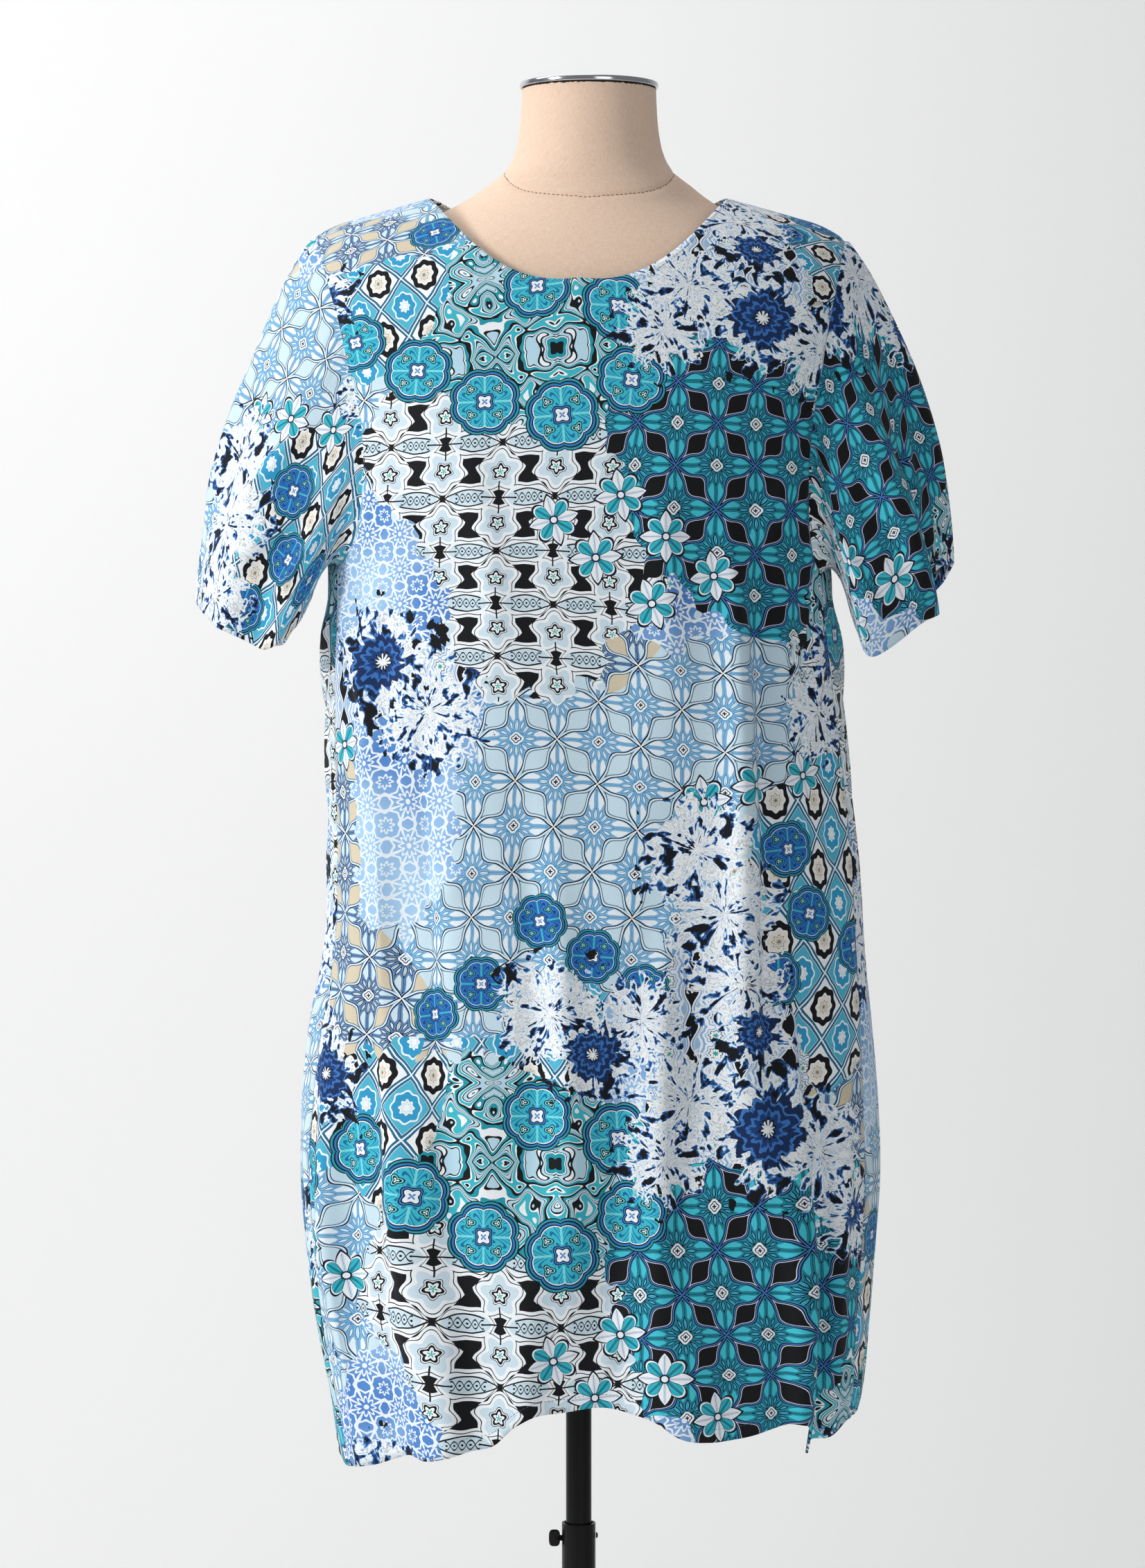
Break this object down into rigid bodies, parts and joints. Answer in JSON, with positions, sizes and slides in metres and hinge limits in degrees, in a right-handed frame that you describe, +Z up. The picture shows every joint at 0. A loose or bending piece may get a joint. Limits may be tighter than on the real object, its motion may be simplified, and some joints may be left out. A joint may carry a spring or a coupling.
{
  "type": "mini dress on a dress form",
  "caption": "Short-sleeved printed mini dress with a scoop neck and an uneven hem, standing on a linen-covered limbless dress form with a telescopic pole stand.",
  "frame": {"origin": "on the pole's axis, at the underside of the base plate, where the stand rests on the floor", "axes": "+Z up along the pole; the dress's front faces -Y; +X is to the right as seen from the front"},
  "size_m": [0.564, 0.36, 1.56],
  "materials": {
    "printed_cloth": "matt light viscose weave, printed with a patchwork of tile motifs",
    "linen_cover": "plain linen weave",
    "chrome_plate": "polished",
    "black_paint": "satin black",
    "black_screw": "satin black"
  },
  "bodies": {
    "stand": {"base_plate": "black_paint", "lower_tube": "black_paint", "tube_rivet": "black_screw"},
    "upper": {"pole": "black_paint", "form_flange": "black_paint", "dress_form": "linen_cover", "neck_cap": "chrome_plate", "dress_front": "printed_cloth", "dress_back": "printed_cloth", "sleeve_left": "printed_cloth", "sleeve_right": "printed_cloth"},
    "clamp": {"clamp_screw": "black_screw"}
  },
  "joints": [
    {"name": "height_slide", "type": "slide", "parent": "stand", "child": "upper", "axis": [0, 0, 1], "range_m": [-0.1, 0.15]},
    {"name": "clamp_turn", "type": "hinge", "parent": "stand", "child": "clamp", "pos_m": [-0.018, 0, 0.479], "axis": [1, 0, 0], "continuous": true}
  ]
}
